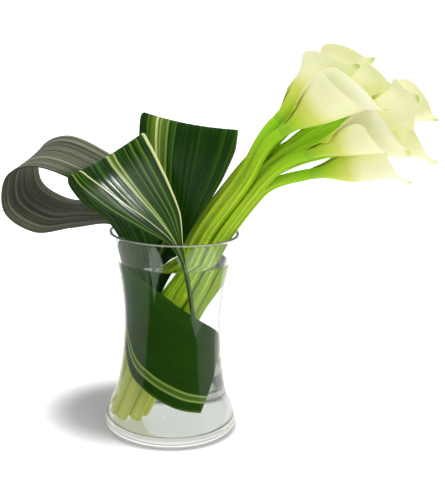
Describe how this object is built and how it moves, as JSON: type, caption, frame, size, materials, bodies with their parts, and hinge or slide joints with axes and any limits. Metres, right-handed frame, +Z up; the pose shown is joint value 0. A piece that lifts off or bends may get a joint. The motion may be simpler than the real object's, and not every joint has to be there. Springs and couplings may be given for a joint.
{
  "type": "calla lily flowers in a vase",
  "caption": "Waisted clear glass vase of water with a bunch of cream calla lilies that leans to one side, and broad striped leaves folded at the rim and laid inside the wall.",
  "frame": {"origin": "middle of the vase's flat base, on the surface that it stands on", "axes": "+Z up along the vase's axis, +X towards the side that the blooms lean to, +Y to the back"},
  "size_m": [0.4297, 0.1929, 0.3853],
  "materials": {
    "glass": "clear, polished",
    "water": "clear water",
    "stem": "smooth fresh green stem",
    "spathe": "satin cream, green at the neck",
    "spadix": "matt yellow, granular",
    "leaf": "glossy dark green with light stripes"
  },
  "bodies": {
    "root": {"vase": "glass", "water": "water", "calla_01_stem": "stem", "calla_01_spathe": "spathe", "calla_01_spadix": "spadix", "calla_02_stem": "stem", "calla_02_spathe": "spathe", "calla_02_spadix": "spadix", "calla_03_stem": "stem", "calla_03_spathe": "spathe", "calla_03_spadix": "spadix", "calla_04_stem": "stem", "calla_04_spathe": "spathe", "calla_04_spadix": "spadix", "calla_05_stem": "stem", "calla_05_spathe": "spathe", "calla_05_spadix": "spadix", "calla_06_stem": "stem", "calla_06_spathe": "spathe", "calla_06_spadix": "spadix", "calla_07_stem": "stem", "calla_07_spathe": "spathe", "calla_07_spadix": "spadix", "calla_08_stem": "stem", "calla_08_spathe": "spathe", "calla_08_spadix": "spadix", "calla_09_stem": "stem", "calla_09_spathe": "spathe", "calla_09_spadix": "spadix", "calla_10_stem": "stem", "calla_10_spathe": "spathe", "calla_10_spadix": "spadix", "leaf_left": "leaf", "leaf_front": "leaf", "leaf_back": "leaf", "leaf_inside": "leaf"}
  },
  "joints": []
}
